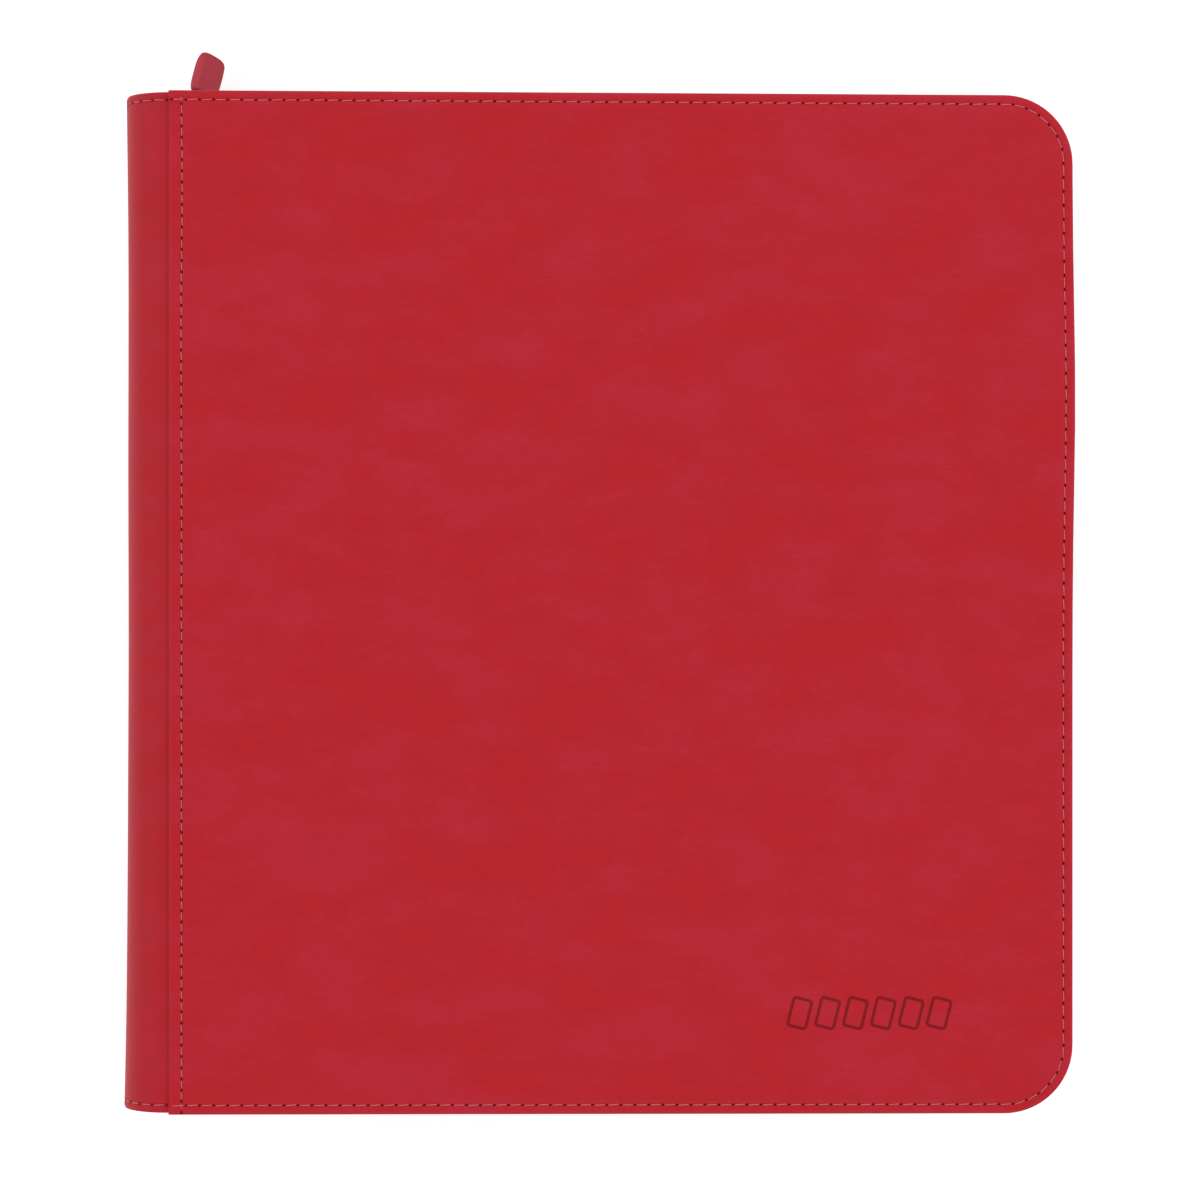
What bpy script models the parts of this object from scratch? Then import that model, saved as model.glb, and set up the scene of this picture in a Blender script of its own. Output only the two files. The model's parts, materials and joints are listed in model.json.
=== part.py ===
"""Zip-around card binder with a padded leatherette case, closed and lying on its back cover.

+X runs from the spine to the free edge, +Y from the tail to the head, and +Z up through the front cover.
The origin is the centre of the back cover's underside. Sizes are in metres.
"""

import math

import bmesh
import bpy
from mathutils import Matrix, Vector

MM = 0.001
GAP = 0.3 * MM  # clearance between two pieces that touch

# Case
CASE_WIDTH = 332 * MM
CASE_HEIGHT = 356 * MM
CASE_THICKNESS = 38 * MM
SPINE_BULGE = 17.2 * MM  # from the hinge lines to the back of the rounded spine
CORNER_R = 24 * MM  # on the free edge
HINGE_CORNER_R = 2.5 * MM  # beside the spine
HINGE_HALF_GAP = 0.8 * MM  # from a hinge line to the cover on one side and to the spine on the other

# Layers of a cover, from the outside in
SKIN_T = 1.0 * MM
SKIN_RIM = 1.2 * MM  # skin turned in round the edge of the boards
FOAM_T = 1.2 * MM
BOARD_T = 1.8 * MM
LINING_T = 0.6 * MM

# Spine
STIFFENER_T = 0.8 * MM
STIFFENER_FROM_HINGE = 4.0 * MM
SPINE_LINING_FROM_HINGE = 1.8 * MM

# Pages
PAGE_COUNT = 20
PAGE_T = 0.6 * MM
PAGE_CORNER_R = 3 * MM
PAGE_FREE_CLEARANCE = 5 * MM  # from the pages' free edge to the zipper
PAGE_END_CLEARANCE = 16 * MM  # from the pages' head and tail to the zipper
PAGE_COVER_CLEARANCE = 1.2 * MM  # from a lining to the middle of the nearest page
PAGE_AXIS_CLEARANCE = 1.5 * MM  # keeps an opened page above the cover that it lies on
PAGE_MARGIN = 10 * MM  # flexible margin between a page's turning line and its pockets
BINDING_T = 1.2 * MM
FIN_T = 0.4 * MM
FIN_END_CLEARANCE = 0.6 * MM

# Zipper
ZIP_INSET = 4.6 * MM  # from the covers' edge to the middle of the tapes
TAPE_T = 0.8 * MM
TAPE_FROM_HINGE = 1.5 * MM
TEETH_T = 2.4 * MM
TEETH_W = 2.3 * MM
TEETH_HALF_GAP = 0.7 * MM  # from mid-height to a row of teeth
STOP_L = 2.0 * MM
STOP_T = 2.8 * MM
TAB_L = 2.6 * MM
TAB_T = 0.8 * MM

# Slider
SLIDER_L = 10 * MM
SLIDER_END_CLEARANCE = 0.4 * MM  # from the closed slider to the stops and the end tabs
PLATE_T = 0.9 * MM
WEDGE_T = 0.8 * MM
LIP_W = 1.0 * MM
BAIL_L = 8.0 * MM
BAIL_WIRE = 1.0 * MM
BAIL_EDGE_R = 0.2 * MM
BAIL_CLEARANCE = 2.3 * MM  # from the outer plate to the middle of the bail's bar

# Pull
HOOK_EYE_CLEARANCE = 0.5 * MM
HOOK_WALL = 0.75 * MM
HOOK_W = 1.6 * MM
TAIL_OVERLAP = 0.5 * MM  # how far the tail runs into the eye's wall
TAIL_W = 4.0 * MM
TAIL_T = 0.8 * MM
TAIL_L = 5.0 * MM
TAB_FROM_BAR = 2.4 * MM
PULL_LENGTH = 23.9 * MM  # from the bail's bar to the tab's tip
PULL_W = 10.4 * MM
PULL_T = 3.2 * MM
PULL_DROOP = math.radians(38)
PULL_YAW = math.radians(6)
PULL_ROLL = math.radians(18)

ARC_STEPS = 10
PAGE_ARC_STEPS = 3
SPINE_STEPS = 28
EYE_SIDES = 20
SECTION_SIDES = 20
SECTION_SQUARENESS = (0.5, 0.7)  # powers that turn the tab's oval section squarer across and through
SHARP_ANGLE = math.radians(35)

# Worked out from the sizes above
COVER_T = SKIN_T + FOAM_T + BOARD_T + LINING_T + 3 * GAP
FREE_X = CASE_WIDTH / 2
HINGE_X = SPINE_BULGE - CASE_WIDTH / 2
HALF_HEIGHT = CASE_HEIGHT / 2
MID_Z = CASE_THICKNESS / 2
BACK_HINGE_Z = SKIN_T / 2
FRONT_HINGE_Z = CASE_THICKNESS - SKIN_T / 2
TAPE_Y = HALF_HEIGHT - ZIP_INSET
TAPE_X = FREE_X - ZIP_INSET
TAPE_START_X = HINGE_X + TAPE_FROM_HINGE
TEETH_START_X = TAPE_START_X + STOP_L + GAP
TEETH_TOP = TEETH_HALF_GAP + TEETH_W  # from mid-height to the far side of a row of teeth
SLIDER_X = TAPE_START_X + max(STOP_L, TAB_L) + SLIDER_END_CLEARANCE + SLIDER_L / 2
PLATE_INNER = TEETH_T / 2 + GAP  # from the middle of the tapes to the slider's plates
PLATE_OUTER = PLATE_INNER + PLATE_T
BAR_Y = TAPE_Y + PLATE_OUTER + BAIL_CLEARANCE
PAGE_AXIS_X = HINGE_X + COVER_T + PAGE_AXIS_CLEARANCE
PAGE_PITCH = (CASE_THICKNESS - 2 * (COVER_T + PAGE_COVER_CLEARANCE)) / (PAGE_COUNT - 1)
FIRST_PAGE_Z = COVER_T + PAGE_COVER_CLEARANCE
HOOK_EYE_R = BAIL_WIRE / 2 + HOOK_EYE_CLEARANCE

FINISHES = {
    "leatherette_red": ((0.47, 0.022, 0.034), 0.55, 0.0),
    "foam_grey": ((0.35, 0.35, 0.36), 0.9, 0.0),
    "greyboard": ((0.30, 0.28, 0.25), 0.85, 0.0),
    "lining_black": ((0.02, 0.02, 0.022), 0.8, 0.0),
    "zip_tape_red": ((0.36, 0.015, 0.025), 0.8, 0.0),
    "zip_teeth_red": ((0.38, 0.02, 0.03), 0.4, 0.0),
    "slider_red": ((0.36, 0.02, 0.03), 0.35, 0.6),
    "pull_rubber": ((0.33, 0.025, 0.04), 0.5, 0.0),
    "page_film": ((0.05, 0.05, 0.055), 0.25, 0.0),
}


def clear_scene():
    for obj in list(bpy.data.objects):
        bpy.data.objects.remove(obj, do_unlink=True)


def finish(name):
    """The named material, made on its first use."""
    found = bpy.data.materials.get(name)
    if found:
        return found
    made = bpy.data.materials.new(name)
    made.use_nodes = True
    shader = made.node_tree.nodes["Principled BSDF"]
    colour, roughness, metallic = FINISHES[name]
    shader.inputs["Base Color"].default_value = (*colour, 1)
    shader.inputs["Roughness"].default_value = roughness
    shader.inputs["Metallic"].default_value = metallic
    made.diffuse_color = (*colour, 1)
    return made


def body(name, pivot, parent=None):
    """An empty on a joint's axis. The pieces that move about it are its children."""
    empty = bpy.data.objects.new(name, None)
    bpy.context.collection.objects.link(empty)
    empty.location = Vector(pivot) - (parent.matrix_world.translation if parent else Vector())
    empty.parent = parent
    bpy.context.view_layer.update()
    return empty


def solid(name, loops, look, owner=None, ring=False, frame=None):
    """A closed solid that bridges equal loops in turn, capped at both ends, or joined end to end if it is a ring.

    The loops are in the world's frame, unless a frame places them.
    """
    mesh = bmesh.new()
    rows = [[mesh.verts.new(point) for point in loop] for loop in loops]
    pairs = list(zip(rows, rows[1:]))
    if ring:
        pairs.append((rows[-1], rows[0]))
    else:
        mesh.faces.new(rows[0])
        mesh.faces.new(rows[-1])
    count = len(rows[0])
    for lower, upper in pairs:
        for i in range(count):
            j = (i + 1) % count
            mesh.faces.new((lower[i], lower[j], upper[j], upper[i]))
    bmesh.ops.recalc_face_normals(mesh, faces=mesh.faces)
    data = bpy.data.meshes.new(name)
    mesh.to_mesh(data)
    mesh.free()
    data.shade_smooth()
    data.set_sharp_from_angle(angle=SHARP_ANGLE)
    data.materials.append(finish(look))
    piece = bpy.data.objects.new(name, data)
    bpy.context.collection.objects.link(piece)
    piece.parent = owner
    if frame is not None:
        piece.matrix_local = frame
    elif owner:
        data.transform(Matrix.Translation(-owner.matrix_world.translation))
    return piece


def box(name, low, high, look, owner=None, frame=None):
    corners = [(low[0], low[1]), (high[0], low[1]), (high[0], high[1]), (low[0], high[1])]
    return solid(name, [lift(corners, low[2]), lift(corners, high[2])], look, owner, frame=frame)


def combine(piece, helper, operation):
    """Joins a helper shape to a piece, or cuts it away, and keeps the helper out of the build."""
    helper.hide_render = True
    helper.display_type = "WIRE"
    modifier = piece.modifiers.new(operation.title(), "BOOLEAN")
    modifier.object = helper
    modifier.operation = operation
    modifier.solver = "EXACT"


def soften(piece, width, segments=2):
    modifier = piece.modifiers.new("Soft edges", "BEVEL")
    modifier.width = width
    modifier.segments = segments
    modifier.limit_method = "ANGLE"


def arc(centre, radius, start, end, steps=ARC_STEPS):
    """Points along an arc, with its angles in degrees."""
    angles = [math.radians(start + (end - start) * i / steps) for i in range(steps + 1)]
    return [(centre[0] + radius * math.cos(a), centre[1] + radius * math.sin(a)) for a in angles]


def lift(outline, z):
    return [(x, y, z) for x, y in outline]


def along_y(outline, y):
    """An outline in X and Z, placed at this Y."""
    return [(x, y, z) for x, z in outline]


def rounded_plate(low, high, left_r, right_r, steps=ARC_STEPS):
    """Outline of a plate whose left corners and right corners have their own radius."""
    return (
        arc((low[0] + left_r, low[1] + left_r), left_r, 180, 270, steps)
        + arc((high[0] - right_r, low[1] + right_r), right_r, 270, 360, steps)
        + arc((high[0] - right_r, high[1] - right_r), right_r, 0, 90, steps)
        + arc((low[0] + left_r, high[1] - left_r), left_r, 90, 180, steps)
    )


def cover_outline(inset):
    return rounded_plate(
        (HINGE_X + HINGE_HALF_GAP + inset, inset - HALF_HEIGHT),
        (FREE_X - inset, HALF_HEIGHT - inset),
        HINGE_CORNER_R - inset,
        CORNER_R - inset,
    )


def level(side, depth):
    """Height of a point this deep below a cover's outer face."""
    return depth if side == "back" else CASE_THICKNESS - depth


def build_cover(side, owner):
    """Skin with its edge turned in, and the foam, board and lining that lie in it."""
    outer = cover_outline(0)
    inner = cover_outline(SKIN_RIM)
    fill = cover_outline(SKIN_RIM + GAP)
    skin = [
        lift(outer, level(side, 0)),
        lift(outer, level(side, COVER_T)),
        lift(inner, level(side, COVER_T)),
        lift(inner, level(side, SKIN_T)),
    ]
    solid(f"{side}_leather", skin, "leatherette_red", owner)
    depth = SKIN_T + GAP
    for layer, thickness, look in (
        ("foam", FOAM_T, "foam_grey"),
        ("board", BOARD_T, "greyboard"),
        ("lining", LINING_T, "lining_black"),
    ):
        faces = [lift(fill, level(side, depth)), lift(fill, level(side, depth + thickness))]
        solid(f"{side}_{layer}", faces, look, owner)
        depth += thickness + GAP


def zip_run(inset, start_x):
    """Open path of the zipper at this distance inside the covers' edge, from the tail end to the head end."""
    radius = CORNER_R - inset
    centre_x = FREE_X - CORNER_R
    centre_y = HALF_HEIGHT - CORNER_R
    return (
        [(start_x, inset - HALF_HEIGHT)]
        + arc((centre_x, -centre_y), radius, -90, 0)
        + arc((centre_x, centre_y), radius, 0, 90)
        + [(start_x, HALF_HEIGHT - inset)]
    )


def zip_band(name, side, thickness, start_x, near, far, look, owner):
    """A band that follows the zipper, between two distances from mid-height on one cover's side."""
    outline = zip_run(ZIP_INSET - thickness / 2, start_x)
    outline += reversed(zip_run(ZIP_INSET + thickness / 2, start_x))
    depths = (MID_Z - near, MID_Z - far)
    solid(name, [lift(outline, level(side, depth)) for depth in depths], look, owner)


def build_zipper(side, owner):
    """One tape with its teeth, and a stop and an end tab at the head and at the tail."""
    tape_near = TEETH_TOP + GAP
    tape_far = MID_Z - COVER_T - GAP
    zip_band(f"{side}_zip_tape", side, TAPE_T, TAPE_START_X, tape_near, tape_far, "zip_tape_red", owner)
    zip_band(f"{side}_zip_teeth", side, TEETH_T, TEETH_START_X, TEETH_HALF_GAP, TEETH_TOP, "zip_teeth_red", owner)
    for end, sign in (("head", 1), ("tail", -1)):
        centre = sign * TAPE_Y
        tab_inner = centre + sign * (TAPE_T / 2 + GAP)
        stop_z = sorted(level(side, MID_Z - reach) for reach in (TEETH_HALF_GAP, TEETH_TOP))
        tab_z = sorted(level(side, MID_Z - reach) for reach in (tape_near, tape_far))
        tab_y = sorted((tab_inner, tab_inner + sign * TAB_T))
        box(
            f"{side}_{end}_stop",
            (TAPE_START_X, centre - STOP_T / 2, stop_z[0]),
            (TAPE_START_X + STOP_L, centre + STOP_T / 2, stop_z[1]),
            "slider_red",
            owner,
        )
        box(
            f"{side}_{end}_tab",
            (TAPE_START_X, tab_y[0], tab_z[0]),
            (TAPE_START_X + TAB_L, tab_y[1], tab_z[1]),
            "leatherette_red",
            owner,
        )


def spine_curve(depth, from_hinge):
    """Half ellipse this deep inside the spine's outer face, ending this far from the hinge lines."""
    reach = SPINE_BULGE - depth
    rise = MID_Z - depth
    limit = math.acos(from_hinge / reach)
    angles = [limit * (2 * i / SPINE_STEPS - 1) for i in range(SPINE_STEPS + 1)]
    return [(HINGE_X - reach * math.cos(a), MID_Z + rise * math.sin(a)) for a in angles]


def spine_shell(name, depth, thickness, from_hinge, half_length, look, owner):
    outline = spine_curve(depth, from_hinge) + spine_curve(depth + thickness, from_hinge)[::-1]
    solid(name, [along_y(outline, -half_length), along_y(outline, half_length)], look, owner)


def page_z(number):
    """Height of the middle of a page, counted from 0 at the back cover."""
    return FIRST_PAGE_Z + number * PAGE_PITCH


def build_spine(owner):
    """Rounded skin, the stiffener in it, the lining across it, and the strip that the pages are bound to."""
    spine_shell("spine_leather", 0, SKIN_T, HINGE_HALF_GAP, HALF_HEIGHT, "leatherette_red", owner)
    spine_shell(
        "spine_stiffener",
        SKIN_T + GAP,
        STIFFENER_T,
        STIFFENER_FROM_HINGE,
        HALF_HEIGHT - SKIN_RIM - GAP,
        "greyboard",
        owner,
    )
    lining_x = HINGE_X - SPINE_LINING_FROM_HINGE
    back_x = lining_x - LINING_T
    reach = (HINGE_X - back_x) / (SPINE_BULGE - SKIN_T)
    lining_half = (MID_Z - SKIN_T) * math.sqrt(1 - reach**2) - GAP
    lining_end = HALF_HEIGHT - SKIN_RIM - GAP
    box(
        "spine_lining",
        (back_x, -lining_end, MID_Z - lining_half),
        (lining_x, lining_end, MID_Z + lining_half),
        "lining_black",
        owner,
    )
    build_binding(lining_x + GAP, owner)


def build_binding(root_x, owner):
    """Strip with one thin fin for each page, as one extruded comb."""
    base_x = root_x + BINDING_T
    tip_x = PAGE_AXIS_X - FIN_END_CLEARANCE
    edge = FIRST_PAGE_Z - FIN_T
    comb = [(root_x, edge), (base_x, edge)]
    for number in range(PAGE_COUNT):
        low, high = page_z(number) - FIN_T / 2, page_z(number) + FIN_T / 2
        comb += [(base_x, low), (tip_x, low), (tip_x, high), (base_x, high)]
    comb += [(base_x, CASE_THICKNESS - edge), (root_x, CASE_THICKNESS - edge)]
    ends = [along_y(comb, sign * page_half_height()) for sign in (-1, 1)]
    solid("page_binding", ends, "lining_black", owner)


def page_half_height():
    return TAPE_Y - TEETH_T / 2 - PAGE_END_CLEARANCE


def build_pages(spine):
    """The pocket pages. Each turns about its own line on the binding strip."""
    free_x = TAPE_X - TEETH_T / 2 - PAGE_FREE_CLEARANCE
    half = page_half_height()
    low, high = (PAGE_AXIS_X + PAGE_MARGIN, -half), (free_x, half)
    outline = rounded_plate(low, high, PAGE_CORNER_R, PAGE_CORNER_R, PAGE_ARC_STEPS)
    for number in range(PAGE_COUNT):
        name = f"page_{number + 1:02d}"
        z = page_z(number)
        hinge = body(f"{name}_turn", (PAGE_AXIS_X, 0, z), spine)
        solid(name, [lift(outline, z - PAGE_T / 2), lift(outline, z + PAGE_T / 2)], "page_film", hinge)


def build_slider(owner):
    """Two plates with a wedge between the rows of teeth, and lips that hold the back cover's row."""
    ends = (SLIDER_X - SLIDER_L / 2, SLIDER_X + SLIDER_L / 2)
    bottom = MID_Z - TEETH_TOP - GAP - LIP_W
    top = MID_Z + TEETH_TOP + GAP + LIP_W
    look = "slider_red"
    half = PLATE_T / 2  # how far the wedge and the lips run into the plates
    parts = []
    for sign, label in ((1, "outer"), (-1, "inner")):
        plate_y = sorted(TAPE_Y + sign * reach for reach in (PLATE_INNER, PLATE_OUTER))
        lip_y = sorted(TAPE_Y + sign * reach for reach in (TAPE_T / 2 + GAP, PLATE_INNER + half))
        parts.append((f"slider_{label}_plate", (ends[0], plate_y[0], bottom), (ends[1], plate_y[1], top)))
        parts.append((f"slider_{label}_lip", (ends[0], lip_y[0], bottom), (ends[1], lip_y[1], bottom + LIP_W)))
    wedge_y = PLATE_INNER + half
    parts.append(
        (
            "slider_wedge",
            (ends[0], TAPE_Y - wedge_y, MID_Z - WEDGE_T / 2),
            (SLIDER_X, TAPE_Y + wedge_y, MID_Z + WEDGE_T / 2),
        )
    )
    plate, *others = [box(name, low, high, look, owner) for name, low, high in parts]
    plate.name = "slider_body"
    for other in others:
        combine(plate, other, "UNION")
    build_bail(owner, TAPE_Y + PLATE_OUTER + GAP)


def build_bail(owner, foot_y):
    """Bridge on the slider's outer plate, with a straight bar along the zipper."""
    half = BAIL_L / 2
    top = BAR_Y + BAIL_WIRE / 2
    inner_half = half - BAIL_WIRE
    under = BAR_Y - BAIL_WIRE / 2
    outline = [
        (SLIDER_X - half, foot_y),
        (SLIDER_X - half, top - BAIL_WIRE),
        (SLIDER_X - inner_half, top),
        (SLIDER_X + inner_half, top),
        (SLIDER_X + half, top - BAIL_WIRE),
        (SLIDER_X + half, foot_y),
        (SLIDER_X + inner_half, foot_y),
        (SLIDER_X + inner_half, under),
        (SLIDER_X - inner_half, under),
        (SLIDER_X - inner_half, foot_y),
    ]
    faces = [lift(outline, MID_Z + sign * BAIL_WIRE / 2) for sign in (-1, 1)]
    soften(solid("slider_bail", faces, "slider_red", owner), BAIL_EDGE_R)


def pull_frame():
    """The pull's own frame about the bar: Y along the tab, X across it and Z out of its broad face."""
    droop = Matrix.Rotation(-PULL_DROOP, 4, "X")
    yaw = Matrix.Rotation(-PULL_YAW, 4, "Z")
    roll = Matrix.Rotation(PULL_ROLL, 4, "Y")
    return droop @ yaw @ roll


def build_hook(owner, frame):
    """Metal eye round the bar, with a flat tail that runs into the tab."""
    outer_r = HOOK_EYE_R + HOOK_WALL
    rounds = []
    for radius, x in ((outer_r, -1), (outer_r, 1), (HOOK_EYE_R, 1), (HOOK_EYE_R, -1)):
        circle = arc((0, 0), radius, 0, 360, EYE_SIDES)[:-1]
        rounds.append([(x * HOOK_W / 2, y, z) for y, z in circle])
    eye = solid("pull_hook", rounds, "slider_red", owner, ring=True, frame=frame)
    tail = box(
        "pull_hook_tail",
        (-TAIL_W / 2, outer_r - TAIL_OVERLAP, -TAIL_T / 2),
        (TAIL_W / 2, outer_r + TAIL_L, TAIL_T / 2),
        "slider_red",
        owner,
        frame,
    )
    combine(eye, tail, "UNION")


def tab_section(along, left, right, thickness):
    """Rounded section across the tab, between its left and its right edge."""
    middle, half = (left + right) / 2, (right - left) / 2
    section = []
    for i in range(SECTION_SIDES):
        angle = 2 * math.pi * i / SECTION_SIDES
        across, out = (
            math.copysign(abs(share) ** power, share)
            for share, power in zip((math.cos(angle), math.sin(angle)), SECTION_SQUARENESS)
        )
        section.append((middle + half * across, along, thickness / 2 * out))
    return section


def build_tab(owner, frame):
    """Moulded tab: full width from its root, with a tip that slopes back on one side."""
    half = PULL_W / 2
    tip = PULL_LENGTH
    root = TAB_FROM_BAR
    shape = [  # distance from the bar, left edge, right edge, thickness
        (root, -0.62 * half, 0.62 * half, 0.55 * PULL_T),
        (root + 0.4 * MM, -0.86 * half, 0.86 * half, 0.72 * PULL_T),
        (root + 1.3 * MM, -half, half, 0.86 * PULL_T),
        (root + 5.0 * MM, -half, half, PULL_T),
        (tip - 6.5 * MM, -half, half, PULL_T),
        (tip - 4.8 * MM, -half, 0.95 * half, 0.98 * PULL_T),
        (tip - 3.2 * MM, -half, 0.70 * half, 0.94 * PULL_T),
        (tip - 1.8 * MM, -0.97 * half, 0.38 * half, 0.86 * PULL_T),
        (tip - 0.7 * MM, -0.86 * half, 0.08 * half, 0.70 * PULL_T),
        (tip, -0.64 * half, -0.20 * half, 0.40 * PULL_T),
    ]
    tab = solid("pull_tab", [tab_section(*row) for row in shape], "pull_rubber", owner, frame=frame)
    slot = box(
        "pull_tab_slot",
        (-TAIL_W / 2 - GAP, 0, -TAIL_T / 2 - GAP),
        (TAIL_W / 2 + GAP, HOOK_EYE_R + HOOK_WALL + TAIL_L + GAP, TAIL_T / 2 + GAP),
        "pull_rubber",
        owner,
        frame,
    )
    combine(tab, slot, "DIFFERENCE")


def build_binder():
    spine = body("spine_fold", (HINGE_X, 0, BACK_HINGE_Z))
    front = body("front_fold", (HINGE_X, 0, FRONT_HINGE_Z), spine)
    slider = body("slider_travel", (SLIDER_X, TAPE_Y, MID_Z))
    pull = body("pull_swing", (SLIDER_X, BAR_Y, MID_Z), slider)
    for side, owner in (("back", None), ("front", front)):
        build_cover(side, owner)
        build_zipper(side, owner)
    build_spine(spine)
    build_pages(spine)
    build_slider(slider)
    frame = pull_frame()
    build_hook(pull, frame)
    build_tab(pull, frame)


clear_scene()
build_binder()
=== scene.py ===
import contextlib
import json
import math
import random

import bmesh
import bpy
from bpy.props import FloatProperty, FloatVectorProperty, IntProperty, PointerProperty
from mathutils import Matrix, Vector


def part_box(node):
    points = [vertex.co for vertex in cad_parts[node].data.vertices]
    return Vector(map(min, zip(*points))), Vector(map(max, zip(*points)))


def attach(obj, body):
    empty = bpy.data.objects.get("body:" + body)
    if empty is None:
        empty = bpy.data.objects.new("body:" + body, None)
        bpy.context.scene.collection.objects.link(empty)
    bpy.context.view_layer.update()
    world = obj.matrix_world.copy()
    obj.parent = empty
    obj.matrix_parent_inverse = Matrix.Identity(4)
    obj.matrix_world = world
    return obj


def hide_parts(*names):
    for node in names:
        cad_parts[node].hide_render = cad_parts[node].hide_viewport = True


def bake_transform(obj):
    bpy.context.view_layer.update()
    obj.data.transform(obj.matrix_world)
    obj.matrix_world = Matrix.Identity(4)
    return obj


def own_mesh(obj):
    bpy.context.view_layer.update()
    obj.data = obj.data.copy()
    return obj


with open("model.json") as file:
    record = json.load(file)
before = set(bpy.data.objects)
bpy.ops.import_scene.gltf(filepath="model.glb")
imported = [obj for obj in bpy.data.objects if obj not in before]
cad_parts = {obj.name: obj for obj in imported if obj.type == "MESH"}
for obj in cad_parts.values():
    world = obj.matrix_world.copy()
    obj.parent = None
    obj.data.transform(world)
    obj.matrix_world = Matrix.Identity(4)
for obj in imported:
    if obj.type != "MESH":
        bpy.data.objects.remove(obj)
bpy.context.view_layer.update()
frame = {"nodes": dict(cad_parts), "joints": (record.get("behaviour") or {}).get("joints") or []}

bl_info = {
    "name": "Card Binder",
    "version": (1, 0, 0),
    "blender": (4, 5, 0),
    "location": "3D View > Sidebar > Binder",
    "description": "Makes the leather, stitching, zipper, pages and stage of a zip-around card binder",
    "category": "Object",
}

MM = 0.001
JOINTS = {joint["name"]: joint for joint in frame["joints"]}
BACK_HINGE = Vector(JOINTS["spine_fold"]["pos_m"])
FRONT_HINGE = Vector(JOINTS["front_fold"]["pos_m"])
PULL_BAR = Vector(JOINTS["pull_swing"]["pos_m"])
HINGE_X = BACK_HINGE.x
LOW_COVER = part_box("back_leather")
TOP_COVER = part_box("front_leather")
MID_Z = TOP_COVER[1].z / 2
HALF_HEIGHT = TOP_COVER[1].y
FREE_X = TOP_COVER[1].x
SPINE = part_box("spine_leather")
CORNER_R = 24 * MM
SIDES = ("back", "front")


# ---- sizes and colours a user may change


class BinderLeather(bpy.types.PropertyGroup):
    colour: FloatVectorProperty(
        name="Leather", description="Colour of the leatherette", subtype="COLOR",
        default=(0.43, 0.0104, 0.0208),
    )
    thread_colour: FloatVectorProperty(
        name="Thread", description="Colour of the sewing thread", subtype="COLOR", default=(0.66, 0.13, 0.165)
    )
    lap: FloatProperty(
        name="Lap", description="How far the panels lap over the spine", default=1.75 * MM, unit="LENGTH"
    )
    edge_stitch_inset: FloatProperty(
        name="Edge seam inset", description="From a cover's edge to its seam",
        default=3.35 * MM, unit="LENGTH",
    )
    edge_stitch_pitch: FloatProperty(
        name="Edge stitch", description="Length of one stitch round the edge", default=4.9 * MM, unit="LENGTH"
    )
    spine_stitch_inset: FloatProperty(
        name="Spine seam inset", description="From a panel's lap to the seam beside it",
        default=4.65 * MM, unit="LENGTH",
    )
    spine_stitch_pitch: FloatProperty(
        name="Spine stitch", description="Length of one stitch beside the spine",
        default=3.9 * MM, unit="LENGTH",
    )
    deboss: FloatProperty(
        name="Deboss", description="Depth of the pressed card outlines", default=0.3 * MM, unit="LENGTH"
    )
    bow: FloatProperty(
        name="Bow", description="How far the free edge bows outward", default=0.95 * MM, unit="LENGTH"
    )


class BinderPages(bpy.types.PropertyGroup):
    columns: IntProperty(name="Columns", description="Pockets across a page", default=4, min=1)
    rows: IntProperty(name="Rows", description="Pockets from tail to head of a page", default=3, min=1)


class BinderFittings(bpy.types.PropertyGroup):
    tooth_pitch: FloatProperty(
        name="Tooth pitch", description="From one zipper tooth to the next", default=1.7 * MM, unit="LENGTH"
    )
    teeth: FloatVectorProperty(
        name="Teeth", description="Colour of the zipper's teeth", subtype="COLOR",
        default=(0.36, 0.018, 0.028),
    )
    tape: FloatVectorProperty(
        name="Tape", description="Colour of the zipper's tape", subtype="COLOR", default=(0.34, 0.014, 0.024)
    )
    enamel: FloatVectorProperty(
        name="Enamel", description="Colour of the slider and stops", subtype="COLOR",
        default=(0.34, 0.018, 0.028),
    )
    rubber: FloatVectorProperty(
        name="Rubber", description="Colour of the pull", subtype="COLOR", default=(0.335, 0.022, 0.036)
    )
    lining: FloatVectorProperty(
        name="Lining", description="Colour of the lining cloth", subtype="COLOR",
        default=(0.014, 0.014, 0.016),
    )
    film: FloatVectorProperty(
        name="Film", description="Colour of the pocket pages", subtype="COLOR", default=(0.018, 0.018, 0.02)
    )


class BinderStage(bpy.types.PropertyGroup):
    floor_size: FloatProperty(name="Floor", description="Width of the floor", default=60.0, unit="LENGTH")
    camera_height: FloatProperty(
        name="Camera height", description="From the floor to the camera", default=1.2, unit="LENGTH"
    )
    lens: FloatProperty(name="Lens", description="Focal length in millimetres", default=100.1)
    light_power: FloatProperty(name="Light", description="Power of each soft light in watts", default=10.5)


# ---- workshop


def deselect():
    if bpy.context.mode != "OBJECT":
        bpy.ops.object.mode_set(mode="OBJECT")
    bpy.ops.object.select_all(action="DESELECT")


def focus(*pieces):
    """Selects just these pieces, the first of them active."""
    deselect()
    for piece in pieces:
        piece.select_set(True)
    bpy.context.view_layer.objects.active = pieces[0]


def named(name):
    """Names the primitive that was just added."""
    piece = bpy.context.active_object
    piece.name = piece.data.name = name
    return piece


def settle(piece):
    """Leaves the object at the origin, unturned and unscaled, with its place in its mesh."""
    focus(piece)
    bpy.ops.object.transform_apply(location=True, rotation=True, scale=True)
    return piece


def block(name, low, high):
    """A box between two corners, as a start for shaping."""
    deselect()
    low, high = Vector(low), Vector(high)
    bpy.ops.mesh.primitive_cube_add(size=1, location=(low + high) / 2)
    piece = named(name)
    piece.scale = high - low
    return settle(piece)


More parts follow.
